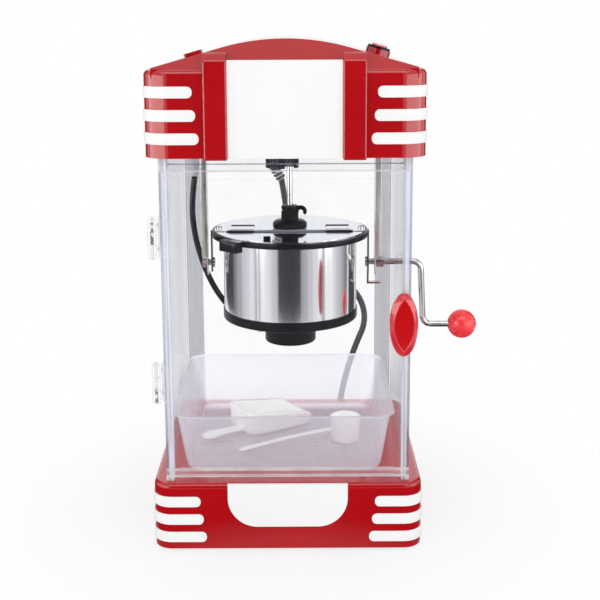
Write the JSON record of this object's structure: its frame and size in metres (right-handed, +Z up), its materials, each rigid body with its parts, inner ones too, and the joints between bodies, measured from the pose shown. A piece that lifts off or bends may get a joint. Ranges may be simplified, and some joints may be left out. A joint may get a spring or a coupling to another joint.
{
  "type": "popcorn maker",
  "caption": "Table-top popcorn maker with a clear cabinet between a base and an arched-roof cover, a tipping kettle with a crank, a stirrer drive and a side-hinged door.",
  "frame": {"origin": "on the standing surface, under the middle of the base's rectangular outline", "axes": "+Z up, the door faces -Y, the crank comes out on +X"},
  "size_m": [0.3283, 0.349, 0.49],
  "materials": {
    "red_plastic": "glossy moulded red",
    "white_trim": "glossy white trim",
    "black_plastic": "black moulded plastic",
    "rubber_foot": "matte rubber",
    "plain_steel": "zinc-plated steel strip",
    "clear_sheet": "clear polystyrene sheet",
    "white_tool": "milky white plastic",
    "motor_steel": "plated motor can",
    "cord_jacket": "black flexible jacket",
    "brass_pins": "plated blades",
    "polished_steel": "polished stainless steel",
    "gear_plastic": "natural nylon",
    "frosted_tray": "translucent moulded tray"
  },
  "bodies": {
    "housing": {"base_housing": "red_plastic", "base_stripes": "white_trim", "base_panel": "white_trim", "base_plate": "black_plastic", "rubber_feet": "rubber_foot", "case_screws": "plain_steel", "left_wall": "clear_sheet", "right_wall": "clear_sheet", "rear_wall": "clear_sheet", "frame_posts": "clear_sheet", "fixed_hinge_leaves": "plain_steel", "hinge_pins": "plain_steel", "cover_housing": "red_plastic", "cover_stripes": "white_trim", "pilasters": "red_plastic", "sign_panel": "white_trim", "ceiling_plate": "white_tool", "gearbox_case": "black_plastic", "drive_motor": "motor_steel", "switch_bezel": "black_plastic", "roof_vent": "red_plastic", "cord_gland": "black_plastic", "left_hanger": "plain_steel", "right_hanger": "plain_steel", "kettle_cord_gland": "black_plastic", "crank_bushing": "white_tool", "mains_cord": "cord_jacket", "mains_coil": "cord_jacket", "plug_body": "cord_jacket", "plug_pins": "brass_pins", "kettle_cord": "cord_jacket"},
    "door": {"door_panel": "clear_sheet", "door_hinge_leaves": "plain_steel", "door_handle": "red_plastic"},
    "kettle": {"kettle_pot": "polished_steel", "kettle_rim": "black_plastic", "kettle_base": "black_plastic", "heater_housing": "black_plastic", "heating_element": "plain_steel", "rear_lid": "polished_steel", "lid_straps": "polished_steel", "kettle_ears": "plain_steel", "kettle_screws": "plain_steel", "grip_block": "black_plastic", "pivot_pin": "plain_steel", "crank_rod": "plain_steel", "crank_ball": "red_plastic", "thumb_screws": "plain_steel"},
    "flap": {"front_lid": "polished_steel", "lid_knob": "black_plastic"},
    "stirrer": {"stirrer_shaft": "plain_steel", "stirrer_hub": "black_plastic", "stir_arm": "plain_steel"},
    "drive": {"drive_gear": "gear_plastic"},
    "rotor": {"motor_pinion": "gear_plastic"},
    "switch": {"switch_rocker": "red_plastic"},
    "tub": {"tub": "frosted_tray", "scoop": "white_tool", "measuring_spoon": "white_tool"}
  },
  "joints": [
    {"name": "door_hinge", "type": "hinge", "parent": "housing", "child": "door", "pos_m": [-0.1247, -0.112, 0.2365], "axis": [0, 0, -1], "range_deg": [0, 110]},
    {"name": "kettle_tilt", "type": "hinge", "parent": "housing", "child": "kettle", "pos_m": [0, 0, 0.26], "axis": [1, 0, 0], "range_deg": [0, 95], "deforming": ["kettle_cord"]},
    {"name": "lid_flap", "type": "hinge", "parent": "kettle", "child": "flap", "pos_m": [0.0026, -0.0195, 0.29638], "axis": [-1, 0, 0], "range_deg": [0, 75]},
    {"name": "stirrer_spin", "type": "hinge", "parent": "kettle", "child": "stirrer", "pos_m": [0.0026, 0, 0.3], "axis": [0, 0, 1], "continuous": true},
    {"name": "drive_spin", "type": "hinge", "parent": "housing", "child": "drive", "pos_m": [0.0026, 0, 0.395], "axis": [0, 0, 1], "continuous": true},
    {"name": "pinion_spin", "type": "hinge", "parent": "housing", "child": "rotor", "pos_m": [-0.0214, 0, 0.395], "axis": [0, 0, 1], "continuous": true},
    {"name": "switch_tip", "type": "hinge", "parent": "housing", "child": "switch", "pos_m": [0.09254, 0.01, 0.47465], "axis": [0.9632, 0, -0.2689], "range_deg": [-16, 0]},
    {"name": "tub_lift", "type": "slide", "parent": "housing", "child": "tub", "axis": [0, 0, 1], "range_m": [0, 0.025]}
  ],
  "couplings": [
    {"joint": "drive_spin", "follows": "stirrer_spin", "ratio": 1},
    {"joint": "pinion_spin", "follows": "stirrer_spin", "ratio": -3}
  ]
}
